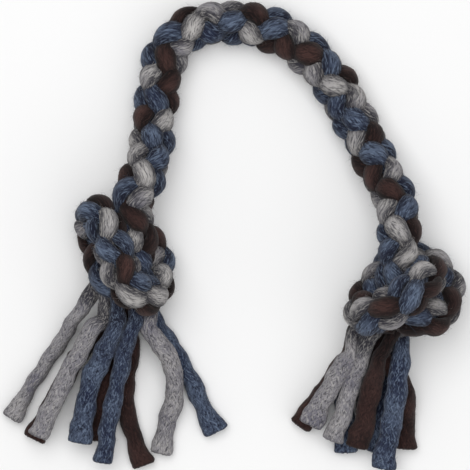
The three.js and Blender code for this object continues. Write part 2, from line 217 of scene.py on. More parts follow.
# Cut ends: how ragged one is, in clearances, and how dark its end is painted, as shade
RAGGED = 1.2
CUT_END_SHADE = 0.35

# Turn of the fibres round a cord, for each metre along it
FIBRE_TWIST = 80.0

# Stray fibres: the stations along one, its sides, its slope off the skin, how far it leans aside, its
# length and that of a long one over the usual, its curl and how far that lifts it, the shares of it that are
# buried and of its thickness that are lost by its tip, and how far its section is turned askew
HAIR_SHARES = np.array([0.0, 0.35, 0.7, 1.0])
HAIR_SIDES = 3
HAIR_SLOPE = (0.12, 0.7)
HAIR_LEAN = 0.6
HAIR_LENGTHS = (0.4, 1.3)
LONG_HAIR = 2.2
HAIR_CURL = (-0.5, 0.7)
HAIR_CURL_LIFT = 0.4
HAIR_BURIED = 0.15
HAIR_TAPER = 0.75
HAIR_ASKEW = 0.1

# Centimetres in a metre, as stray fibres are counted by the centimetre
CENTIMETRES = 100

# Noise of the fibres: how far it is drawn out along the cord, its scales for fibres that lie one way and the
# other, and the values between which it shows
STREAK = {"stretch": 0.32, "scales": (1250, 1350), "limits": (0.55, 0.66)}
FLECK = {"stretch": 0.32, "scales": (1500, 1400), "limits": (0.53, 0.64)}
SHADE = {"stretch": 0.8, "scale": 75, "limits": (0.36, 0.64)}
FINE = {"stretch": 0.16, "scale": 4200, "strength": 0.6}
NOISE_ROUGHNESS = 0.6

# How strongly these show in each wool: lighter patches, slow changes of shade, painted shade between and
# under cords, on undersides and at cut ends, dark flecks, light streaks, and the light of stray fibres
MIXING = {
    "grey": {"patch": 0.62, "shade": 0.2, "painted_shade": 0.95, "fleck": 0.75, "streak": 0.4, "hair": 0.4},
    "blue": {"patch": 0.3, "shade": 0.2, "painted_shade": 0.95, "fleck": 0.9, "streak": 0.5, "hair": 0.4},
    "brown": {"patch": 0.4, "shade": 0.2, "painted_shade": 0.95, "fleck": 0.6, "streak": 0.22, "hair": 0.3},
}

# Places of the sockets of a node that mixes colours: how much of the second, the two colours, and the result
MIX_SHARE = 0
MIX_FIRST = 6
MIX_SECOND = 7
MIX_RESULT = 2

# Surfaces of the wool and the floor, and the relief of the fibres
WOOL_SURFACE = {"Roughness": 0.92, "Specular IOR Level": 0.15, "Sheen Weight": 0.08, "Sheen Roughness": 0.55}
FLOOR_SURFACE = {"Roughness": 0.9, "Specular IOR Level": 0.1}
RELIEF = {"Strength": 0.55, "Distance": 0.0005}


def distance(name, description, value, low, high):
    """A length that a user may change."""
    return FloatProperty(name=name, description=description, default=value, min=low, max=high, precision=5,
                         subtype="DISTANCE", unit="LENGTH")


class RopeToySizes(bpy.types.PropertyGroup):
    """Sizes that a user may change."""

    cord: distance("Cord", "Thickness of a loose cord", CORD, 0.004, 0.012)
    cord_root: distance(
        "Cord at the knot", "Thickness of a loose cord where it leaves its knot", 0.0084, 0.003, 0.012)
    rope: distance("Braid", "Braid across, along the arch", 0.022, 0.015, 0.03)
    knot_rope: distance("Braid in a knot", "Braid across, where a knot squeezes it", 0.02, 0.01, 0.024)
    knot_size: FloatProperty(
        name="Knot tightness", description="Size of the turns of a knot over those of the part",
        default=0.88, min=0.8, max=1.0, subtype="FACTOR")
    hair_length: distance(
        "Fuzz length", "Usual length of the stray fibres of a loose cord", 0.0017, 0.0, 0.003)
    braid_hair_length: distance(
        "Braid's fuzz length", "Usual length of the stray fibres of the braid", 0.0028, 0.0, 0.004)
    hair_thickness: distance(
        "Fuzz thickness", "Thickness of a stray fibre at its root", 0.0001, 0.00002, 0.0003)
    hairs: FloatProperty(
        name="Fuzz", description="Stray fibres on each centimetre of a cord", default=44, min=0, max=120)
    seed: IntProperty(
        name="Seed", description="Start of the random numbers for lumps and fuzz", default=7, min=0)


def colour(name, description, value):
    """A colour that a user may change."""
    return FloatVectorProperty(
        name=name, description=description, default=value, size=3, min=0.0, max=1.0, subtype="COLOR")


class RopeToyColours(bpy.types.PropertyGroup):
    """Colours of the wools, each in a dark, a usual and a light tone, and of the floor. The dark tone serves
    both for dark flecks and for the painted shade between and under cords.
    """

    grey_dark: colour("Grey, dark", "Darkest fibres of the grey wool", (0.021, 0.02, 0.027))
    grey: colour("Grey", "Usual tone of the grey wool", (0.138, 0.133, 0.16))
    grey_light: colour("Grey, light", "Lightest fibres of the grey wool", (0.52, 0.5, 0.475))
    blue_dark: colour("Blue, dark", "Darkest fibres of the blue wool", (0.006, 0.007, 0.017))
    blue: colour("Blue", "Usual tone of the blue wool", (0.015, 0.0205, 0.046))
    blue_light: colour("Blue, light", "Lightest fibres of the blue wool", (0.175, 0.228, 0.32))
    brown_dark: colour("Brown, dark", "Darkest fibres of the brown wool", (0.005, 0.0025, 0.0027))
    brown: colour("Brown", "Usual tone of the brown wool", (0.0115, 0.0046, 0.0046))
    brown_light: colour("Brown, light", "Lightest fibres of the brown wool", (0.1, 0.05, 0.043))
    floor: colour("Floor", "Tone of the floor under the toy", (0.86, 0.86, 0.86))


# Curves

def unit(vectors):
    """The vectors at length one."""
    return vectors / np.linalg.norm(vectors, axis=-1, keepdims=True)


def dots(first, second):
    """Row by row scalar products, kept as a column."""
    return np.sum(first * second, axis=-1, keepdims=True)


def reach(points):
    """Length along a line of points up to each of them."""
    return np.concatenate([[0.0], np.cumsum(np.linalg.norm(np.diff(points, axis=0), axis=1))])


def smooth_curve(stops):
    """Points close together on the centripetal curve through the stops, as the part's own routes are."""
    stops = np.asarray(stops, float)
    padded = np.vstack([2 * stops[0] - stops[1], stops, 2 * stops[-1] - stops[-2]])
    gaps = np.sqrt(np.linalg.norm(np.diff(padded, axis=0), axis=1))
    share = np.linspace(0, 1, SPAN_SAMPLES, endpoint=False)[:, None]
    runs = []
    for k in range(1, len(padded) - 2):
        before, here, after, beyond = padded[k - 1:k + 3]
        gap_before, gap, gap_after = gaps[k - 1:k + 2]
        leave = ((here - before) / gap_before - (after - before) / (gap_before + gap)
                 + (after - here) / gap) * gap
        arrive = ((after - here) / gap - (beyond - here) / (gap + gap_after)
                  + (beyond - after) / gap_after) * gap
        runs.append(here + leave * share + (3 * (after - here) - 2 * leave - arrive) * share ** 2
                    + (2 * (here - after) + leave + arrive) * share ** 3)
    runs.append(stops[-1:])
    return np.vstack(runs)


def even(points, count):
    """The line as that many points, evenly spaced."""
    along = reach(points)
    places = np.linspace(0, along[-1], count)
    return np.stack([np.interp(places, along, points[:, axis]) for axis in range(3)], axis=1)


def carried(tangents, start, normal):
    """Normals carried along a line without twist, both ways from one place."""
    normals = np.zeros_like(tangents)
    for step in (1, -1):
        here = np.asarray(normal, float)
        k = start
        while 0 <= k < len(tangents):
            here = unit(here - tangents[k] * (here @ tangents[k]))
            normals[k] = here
            k += step
    return normals


def ease(value, start, end):
    """From 0 at start to 1 at end, smoothly."""
    share = np.clip((value - start) / (end - start), 0, 1)
    return share * share * (3 - 2 * share)


def draws(sizes, cord, part):
    """Random numbers for one drawn length of a cord, the same each time."""
    return np.random.default_rng([sizes.seed, CORDS.index(cord), DRAWS[part]])


def wander(rng, along, height, wave):
    """A smooth value that wanders along a cord, up to about the height above and below nothing."""
    total = np.zeros_like(along)
    for share in WAVE_SHARES:
        total += np.sin(2 * pi * along / (wave * share) + rng.uniform(0, 2 * pi))
    return height * (total / WAVE_HEIGHT)


def turned(vector, axis, angle):
    """The vector turned about an axis at right angles to it."""
    return vector * cos(angle) + np.cross(axis, vector) * sin(angle)


class Rope:
    """The line of the braid from mouth to mouth, and the places of its cords."""

    # Lengths over which the braid narrows into a knot and opens at a mouth, its size at a mouth, and how much
    # further its cords lie apart on the level there
    SQUEEZE_RUN = 0.022
    MOUTH_RUN = 0.02
    MOUTH_ROPE = 0.027
    MOUTH_SPREAD = 0.65

    def __init__(self, sizes):
        self.sizes = sizes
        # Thickness of the braid on the arch, over the usual
        self.scale = sizes.rope / sizes.bl_rna.properties["rope"].default
        left = self.tied(LEFT_KNOT)[::-1]
        right = self.tied(RIGHT_KNOT)
        line = smooth_curve([*left, *ARCH, *right])
        self.points = even(line, ROPE_SAMPLES)
        self.length = reach(line)[-1]
        self.along = np.linspace(0, self.length, ROPE_SAMPLES)
        self.tangents = unit(np.gradient(self.points, axis=0))
        self.left_entry = self.length_at(left[-1])
        self.right_entry = self.length_at(right[0])
        middle = int(round(self.ring_length(CROWN) / self.length * (ROPE_SAMPLES - 1)))
        self.normals = carried(self.tangents, middle, (0, 0, 1))
        self.arch_phase = -TURN - CROWN * TURN
        self.left_roll = self.roll(0.0, LEFT_KNOT["mouth_top"])
        self.right_roll = self.roll(self.length, RIGHT_KNOT["mouth_top"] + RINGS * TURN)

    def tied(self, knot):
        """Stops of one knot, from the arch to its mouth."""
        pitch = knot["looseness"] * KNOT_PITCH * self.sizes.knot_size
        along = unit(np.array([knot["lean"], -1.0, 0.0]))
        front = turned(np.array([0.0, 0.0, 1.0]), along, knot["roll"])
        across = np.cross(front, along)
        second = [(-u, -v, w) for u, v, w in reversed(KNOT_HALF)]
        turns = [*KNOT_HALF, KNOT_MIDDLE, *second]
        along = along * knot["stretch"]
        stops = [knot["centre"] + pitch * (u * along - v * across - w * front) for u, v, w in turns]
        return [knot["entry"], *stops, *knot["mouth"]]

    def length_at(self, point):
        """Length from the left mouth at which the line passes a point."""
        return self.along[np.argmin(np.linalg.norm(self.points - np.asarray(point), axis=1))]

    def ring_length(self, ring):
        """Length from the left mouth of a braid step."""
        return np.interp(ring, [0, KNOT_RINGS, KNOT_RINGS + ARCH_RINGS, RINGS],
                         [0, self.left_entry, self.right_entry, self.length])

    def frame_at(self, length):
        """Point, tangent, normal and binormal of the line at some lengths."""
        length = np.atleast_1d(length)

        def read(table):
            return np.stack([np.interp(length, self.along, table[:, axis]) for axis in range(3)], axis=1)

        tangent = unit(read(self.tangents))
        normal = read(self.normals)
        normal = unit(normal - tangent * dots(normal, tangent))
        return read(self.points), tangent, normal, np.cross(tangent, normal)

    def roll(self, length, angle):
        """Turn that brings the braid's angle straight up at a mouth."""
        normal, binormal = self.frame_at(length)[2:]
        wanted = np.arctan2(binormal[0, 2], normal[0, 2]) - angle - self.arch_phase
        return np.arctan2(sin(wanted), cos(wanted))

    def phase(self, length):
        """Angle of the braid's zero round the line, rolled inside the knots."""
        in_left = 1 - np.clip(length / self.left_entry, 0, 1)
        in_right = np.clip((length - self.right_entry) / (self.length - self.right_entry), 0, 1)
        left = self.left_roll * ease(in_left, 0, 1) + LEFT_KNOT["twist"] * np.sin(pi * in_left)
        right = self.right_roll * ease(in_right, 0, 1) + RIGHT_KNOT["twist"] * np.sin(pi * in_right)
        return self.arch_phase + left + right

    def opening(self, length):
        """How far the braid has opened, from 0 inside a knot to 1 at its mouth."""
        return 1 - ease(np.minimum(length, self.length - length), 0, self.MOUTH_RUN)

    def squeeze(self, length):
        """Size of the braid along the line, over its usual size on the arch."""
        knot = self.sizes.knot_rope / self.sizes.rope
        mouth = self.MOUTH_ROPE / self.sizes.rope
        half = self.SQUEEZE_RUN / 2
        in_left = 1 - ease(length, self.left_entry - half, self.left_entry + half)
        in_right = ease(length, self.right_entry - half, self.right_entry + half)
        return self.scale * (1 + (knot - 1) * (in_left + in_right) + (mouth - knot) * self.opening(length))

    def strand(self, cord, rings, radius, wave, drift=0.0, held=None):
        """Centres of a cord of the braid at some steps, the outward direction at each, and how far the cord
        lies over the others. With a held step, it keeps the place in the round that it has there."""
        length = self.ring_length(rings)
        point, tangent, normal, binormal = self.frame_at(length)
        if cord["lay"] == 0:
            return point, normal, np.zeros(len(point))
        turns = rings if held is None else np.full(len(rings), held)
        ahead = QUARTER / 2 if cord["lay"] < 0 else 0
        angle = cord["slot"] * QUARTER + cord["lay"] * turns * TURN + ahead
        over = cord["lay"] * np.cos(OVERS * (angle - TURN))
        turn = (angle + self.phase(length) + drift)[:, None]
        outward = normal * np.cos(turn) + binormal * np.sin(turn)
        away = outward * ((radius + wave * over) * self.squeeze(length))[:, None]
        level = unit(np.cross(tangent, (0.0, 0.0, 1.0)))
        away += level * dots(away, level) * (self.MOUTH_SPREAD * self.opening(length))[:, None]
        return point + away, outward, over


# Meshes

class Felt:
    """A mesh in the making: points and faces, and what the wool reads at each point: the fibre's place, and
    a look of three shares (how light its patch is, how much painted shade it gets where it lies deep or faces
    down, and whether it is a stray fibre)."""

    def __init__(self):
        self.points = []
        self.fibres = []
        self.looks = []
        self.faces = []
        self.count = 0

    def add(self, points, fibres, looks, faces):
        """One more shape, with what the wool reads at each of its points."""
        self.points.append(points)
        self.fibres.append(fibres)
        self.looks.append(looks)
        self.faces.extend((np.asarray(face) + self.count).tolist() for face in faces)
        self.count += len(points)

    def make(self, name, material):
        """The finished object, smooth, and flat where it lies on the floor."""
        points = np.vstack(self.points)
        points[:, 2] = np.maximum(points[:, 2], 0.0)
        mesh = bpy.data.meshes.new(name)
        mesh.from_pydata(points.tolist(), [], self.faces)
        for label, rows in (("fibre", self.fibres), ("look", self.looks)):
            attribute = mesh.attributes.new(label, "FLOAT_VECTOR", "POINT")
            attribute.data.foreach_set("vector", np.vstack(rows).astype(np.float32).ravel())
        mesh.materials.append(material)
        mesh.shade_smooth()
        obj = bpy.data.objects.new(name, mesh)
        bpy.context.scene.collection.objects.link(obj)
        return obj


def tube_faces(stations, sides):
    """Four-sided faces round a tube, facing outwards when the sides run left-handed round its line."""
    station = np.arange(stations - 1)[:, None] * sides
    side = np.arange(sides)[None, :]
    following = (side + 1) % sides
    corners = [station + side, station + following, station + sides + following, station + sides + side]
    return np.stack(corners, axis=-1).reshape(-1, 4)


def cap_faces(ring, centre, forward):
    """Triangles that close a ring of points at a middle point."""
    pairs = zip(ring, [*ring[1:], ring[0]])
    return [(a, b, centre) if forward else (b, a, centre) for a, b in pairs]


def unevenness(rng, along, angles, height, waves):
    """A seamless uneven surface over a tube, up to about the height above and below nothing."""
    total = np.zeros((len(along), len(angles)))
    for times, wave in waves:
        place = 2 * pi * along[:, None] / wave
        total += np.sin(times * angles[None, :] + place + rng.uniform(0, 2 * pi))
        total += np.sin(times * angles[None, :] - COUNTER_SHARE * place + rng.uniform(0, 2 * pi))
    return height * (total / (LUMP_HEIGHT * len(waves)))


@dataclass
class Run:
    """A drawn length of cord: at each step its centre, the directions across and up, its half width and half
    height, its length from the start and its tone; how much painted shade each point of its skin gets where
    it lies deep or faces down; and how far the wool's pattern is moved along it."""

    centre: np.ndarray
    side: np.ndarray
    up: np.ndarray
    half_width: np.ndarray
    half_height: np.ndarray
    along: np.ndarray
    tone: np.ndarray
    painted_shade: np.ndarray
    offset: float

    def forward(self):
        """Direction along the cord at each step."""
        return unit(np.cross(self.side, self.up))


@dataclass
class Fuzz:
    """The stray fibres of a length of cord: how many, their usual length and thickness, and the share of
    them that is long."""

    count: int
    length: float
    thickness: float
    long_share: float = 0.0


def round_angles(sides):
    """Angles round a tube, one for each of its sides."""
    return np.linspace(0, 2 * pi, sides, endpoint=False)


def add_tube(felt, rng, run, end_shape=()):
    """A closed tube; end_shape rounds its far end by (step forwards, size) pairs. Gives its skin, ring by
    ring, and the place of the fibres on it."""
    sides = run.painted_shade.shape[1]
    angles = round_angles(sides)
    rough = 1 + unevenness(rng, run.along, angles, *LUMPS)
    rough += unevenness(rng, run.along, angles, *RIBS)
    wide = (run.half_width[:, None] * np.cos(angles) * rough)[..., None]
    high = (run.half_height[:, None] * np.sin(angles) * rough)[..., None]
    rings = run.centre[:, None, :] + run.side[:, None, :] * wide + run.up[:, None, :] * high
    twist = angles[None, :] + FIBRE_TWIST * run.along[:, None]
    radius = CORD / 2
    fibres = np.stack([radius * np.cos(twist), radius * np.sin(twist),
                       np.broadcast_to(run.along[:, None] + run.offset, twist.shape)], axis=-1)
    tones = np.broadcast_to(run.tone[:, None], twist.shape)
    looks = np.stack([tones, run.painted_shade, np.zeros_like(twist)], axis=-1)
    last = run.centre[-1]
    end = rings[-1]
    forward = run.forward()[-1]
    for forwards, size in end_shape:
        ragged = rng.uniform(-RAGGED, RAGGED, (sides, 1)) * GAP
        ring = last + (end - last) * size + forward * (forwards + ragged)
        rings = np.concatenate([rings, ring[None]])
        fibres = np.concatenate([fibres, fibres[-1:] * [size, size, 1.0]])
        # The rounded end is painted darker, as shade on the cut face
        looks = np.concatenate([looks, np.broadcast_to([run.tone[-1], CUT_END_SHADE, 0.0], (1, sides, 3))])
    points = np.vstack([rings.reshape(-1, 3), run.centre[0], rings[-1].mean(axis=0)])
    middle = [[0, 0, run.along[0] + run.offset], [0, 0, run.along[-1] + run.offset]]
    places = np.vstack([fibres.reshape(-1, 3), middle])
    looks = np.vstack([looks.reshape(-1, 3), looks[0, 0], looks[-1, 0]])
    count = len(rings) * sides
    faces = list(tube_faces(len(rings), sides))
    faces += cap_faces(list(range(sides)), count, False)
    faces += cap_faces(list(range(count - sides, count)), count + 1, True)
    felt.add(points, places, looks, faces)
    steps = len(run.centre)
    return rings[:steps], fibres[:steps]


def add_hairs(felt, rng, run, skin, fibres, fuzz):
    """Stray fibres standing off a tube's skin, each a thin tapering spike that curls along the cord."""
    count = fuzz.count
    stations = rng.integers(1, len(skin) - 1, count)
    sides = rng.integers(0, skin.shape[1], count)
    root = skin[stations, sides]
    place = fibres[stations, sides]
    normal = unit(root - run.centre[stations])
    along = run.forward()[stations] * rng.choice([-1, 1], (count, 1))
    across = np.cross(along, normal)
    slope = rng.uniform(*HAIR_SLOPE, (count, 1))
    lean = rng.normal(0, HAIR_LEAN, (count, 1))
    heading = unit(along + normal * slope + across * lean)
    length = fuzz.length * rng.uniform(*HAIR_LENGTHS, (count, 1))
    length *= np.where(rng.random((count, 1)) < fuzz.long_share, LONG_HAIR, 1.0)
    curl = rng.uniform(*HAIR_CURL, (count, 1)) * length
    first = unit(np.cross(heading, normal + along * HAIR_ASKEW))
    second = np.cross(heading, first)
    share = HAIR_SHARES[None, :, None]
    root = root - heading * length * HAIR_BURIED
    line = (root[:, None, :] + (heading * length)[:, None, :] * share
            + ((across + normal * HAIR_CURL_LIFT) * curl)[:, None, :] * share ** 2)
    thick = fuzz.thickness / 2 * (1 - HAIR_TAPER * share)
    turn = round_angles(HAIR_SIDES)
    points = (line[:, :, None, :]
              + first[:, None, None, :] * (thick * np.cos(turn))[..., None]
              + second[:, None, None, :] * (thick * np.sin(turn))[..., None])
    each = len(HAIR_SHARES) * HAIR_SIDES
    quads = tube_faces(len(HAIR_SHARES), HAIR_SIDES)
    starts = np.arange(count)[:, None, None] * each
    faces = list((starts + quads[None]).reshape(-1, 4))
    # A stray fibre has three sides, so that one triangle closes each of its ends
    ends = np.array([[2, 1, 0], [each - 3, each - 2, each - 1]])
    faces += list((starts + ends[None]).reshape(-1, 3))
    looks = np.stack([run.tone[stations], np.zeros(count), rng.random(count)], axis=-1)
    felt.add(points.reshape(-1, 3), np.repeat(place, each, axis=0), np.repeat(looks, each, axis=0), faces)


# Materials

def set_inputs(tree, node, inputs):
    """Links each input that is given a socket, and sets the others to constants."""
    for key, value in inputs.items():
        if isinstance(value, bpy.types.NodeSocket):
            tree.links.new(value, node.inputs[key])
        else:
            node.inputs[key].default_value = value


def added(tree, kind, inputs, **settings):
    """The outputs of a new node."""
    node = tree.nodes.new(kind)
    for name, value in settings.items():
        setattr(node, name, value)
    set_inputs(tree, node, inputs)
    return node.outputs


def noise(tree, place, stretch, scale, detail=2):
    """A noise value that is drawn out along the cord."""
    drawn = added(tree, "ShaderNodeVectorMath", {0: place, 1: (1.0, 1.0, stretch)}, operation="MULTIPLY")[0]
    return added(tree, "ShaderNodeTexNoise", {
        "Vector": drawn, "Scale": scale, "Detail": detail, "Roughness": NOISE_ROUGHNESS})["Fac"]


def joined(tree, operation, first, second):
    """One value from two, such as the larger of them."""
    return added(tree, "ShaderNodeMath", {0: first, 1: second}, operation=operation)[0]


def separated(tree, vector):
    """The three parts of a vector, by the names of their axes."""
    return added(tree, "ShaderNodeSeparateXYZ", {0: vector})


def twisted(tree, place, turn):
    """The place on the cord with its fibres laid round it at another slope, by a turn for each metre."""
    angle = joined(tree, "MULTIPLY", separated(tree, place)["Z"], turn)
    return added(tree, "ShaderNodeVectorRotate", {"Vector": place, "Angle": angle}, rotation_type="Z_AXIS")[0]


def spread(tree, value, low, high):
    """The value stretched so that low becomes 0 and high becomes 1."""
    return added(tree, "ShaderNodeMapRange", {"Value": value, "From Min": low, "From Max": high})["Result"]


def crossed(tree, place, other, kind):
    """The stronger of two noises, of fibres that lie one way round the cord and the other."""
    first, second = kind["scales"]
    return joined(tree, "MAXIMUM", noise(tree, place, kind["stretch"], first),
                  noise(tree, other, kind["stretch"], second))


def fibre_group():
    """Light streaks, slow changes of shade, dark flecks and relief of felted fibres, from the place on the
    cord. The fibres cross, so they are drawn at two slopes."""
    tree = bpy.data.node_groups.new("felted_fibres", "ShaderNodeTree")
    tree.interface.new_socket(name="Place", in_out="INPUT", socket_type="NodeSocketVector")
    for name in ("Streak", "Shade", "Fleck", "Relief"):
        tree.interface.new_socket(name=name, in_out="OUTPUT", socket_type="NodeSocketFloat")
    place = tree.nodes.new("NodeGroupInput").outputs["Place"]
    other = twisted(tree, place, -FIBRE_TWIST * 2)
    coarse = crossed(tree, place, other, STREAK)
    shade = noise(tree, place, SHADE["stretch"], SHADE["scale"], detail=1)
    fleck = crossed(tree, place, other, FLECK)
    fine = joined(tree, "MULTIPLY", noise(tree, other, FINE["stretch"], FINE["scale"]), FINE["strength"])
    added(tree, "NodeGroupOutput", {
        "Streak": spread(tree, coarse, *STREAK["limits"]),
        "Shade": spread(tree, shade, *SHADE["limits"]),
        "Fleck": spread(tree, fleck, *FLECK["limits"]),
        "Relief": joined(tree, "ADD", fine, coarse),
    })
    return tree


def wool_material(name, group, tones, mixing):
    """Matte felted wool; mixing says how strongly each thing that changes its tone shows."""
    material = bpy.data.materials.new(name)
    material.use_nodes = True
    tree = material.node_tree
    place, look = (added(tree, "ShaderNodeAttribute", {}, attribute_name=attribute)["Vector"]
                   for attribute in ("fibre", "look"))
    parts = separated(tree, look)
    felt = added(tree, "ShaderNodeGroup", {"Place": place}, node_tree=group)
    dark, tone, light = ((*shade, 1.0) for shade in tones)
    steps = [
        ("patch", parts["X"], light),
        ("shade", felt["Shade"], light),
        # Painted shade: the dark tone mixed in where the cords lie deep, face down or are cut
        ("painted_shade", parts["Y"], dark),
        ("fleck", felt["Fleck"], dark),
        ("streak", felt["Streak"], light),
        ("hair", parts["Z"], light),
    ]
    for step, value, other in steps:
        share = joined(tree, "MULTIPLY", value, mixing[step])
        mixed = {MIX_SHARE: share, MIX_FIRST: tone, MIX_SECOND: other}
        tone = added(tree, "ShaderNodeMix", mixed, data_type="RGBA")[MIX_RESULT]
    bump = added(tree, "ShaderNodeBump", {**RELIEF, "Height": felt["Relief"]})
    shader = tree.nodes["Principled BSDF"]
    set_inputs(tree, shader, {**WOOL_SURFACE, "Base Color": tone, "Normal": bump["Normal"]})
    return material


def wools(context):
    """The three wool materials, made once."""
    made = {}
    group = bpy.data.node_groups.get("felted_fibres") or fibre_group()
    tones = context.scene.rope_toy_colours
    for shade, mixing in MIXING.items():
        name = f"felted_{shade}"
        chosen = [tuple(getattr(tones, shade + tone)) for tone in ("_dark", "", "_light")]
        made[shade] = bpy.data.materials.get(name) or wool_material(name, group, chosen, mixing)
    return made


def shade_of(cord):
    """Name of a cord's colour."""
    return cord["name"].split("_")[0]


# Operators

class ROPETOY_OT_stage(bpy.types.Operator):
    """Floor, soft lights and a camera straight above"""

    bl_idname = "ropetoy.stage"
    bl_label = "Stage"

    # The camera's place, the width that it sees at the rope's usual height, and the width of the floor
    CAMERA = (0.0005, -0.0005, 1.5)
    FIELD = 0.235
    ROPE_HEIGHT = 0.012
    FLOOR_SIZE = 4.0

    # Lights: name, place, size and power in watts; and the strength of the light from all round
    LIGHTS = [
        ("key", (-0.2, 0.3, 1.3), 1.3, 13.6),
        ("fill", (0.6, -0.5, 0.9), 1.2, 3.6),
    ]
    SKY = 0.44

    def execute(self, context):
        self.floor(context)
        for name, place, size, power in self.LIGHTS:
            self.light(context, name, place, size, power)
        self.sky(context)
        self.camera(context)
        context.scene.view_settings.view_transform = "Standard"
        return {"FINISHED"}

    def floor(self, context):
        """A wide pale floor, which is no part of the toy."""
        bpy.ops.mesh.primitive_plane_add(size=self.FLOOR_SIZE)
        floor = context.object
        floor.name = "floor"
        material = bpy.data.materials.new("floor")
        material.use_nodes = True
        tree = material.node_tree
        tone = (*context.scene.rope_toy_colours.floor, 1.0)
        set_inputs(tree, tree.nodes["Principled BSDF"], {**FLOOR_SURFACE, "Base Color": tone})
        floor.data.materials.append(material)

    def sky(self, context):
        """White light from all round."""
        world = bpy.data.worlds.new("studio")
        world.use_nodes = True
        sky = world.node_tree.nodes["Background"]
        sky.inputs["Color"].default_value = (1.0, 1.0, 1.0, 1.0)
        sky.inputs["Strength"].default_value = self.SKY
        context.scene.world = world

    def light(self, context, name, place, size, power):
        """A wide soft light that looks at the toy."""
        lamp = bpy.data.lights.new(name, "AREA")
        lamp.size = size
        lamp.energy = power
        obj = bpy.data.objects.new(name, lamp)
        obj.location = place
        obj.rotation_euler = (-obj.location).to_track_quat("-Z", "Y").to_euler()
        context.scene.collection.objects.link(obj)

    def camera(self, context):
        """A camera above the toy, looking straight down with +Y up in the picture."""
        lens = bpy.data.cameras.new("camera")
        lens.lens = lens.sensor_width * (self.CAMERA[2] - self.ROPE_HEIGHT) / self.FIELD
        obj = bpy.data.objects.new("camera", lens)
        obj.location = self.CAMERA
        context.scene.collection.objects.link(obj)
        context.scene.camera = obj


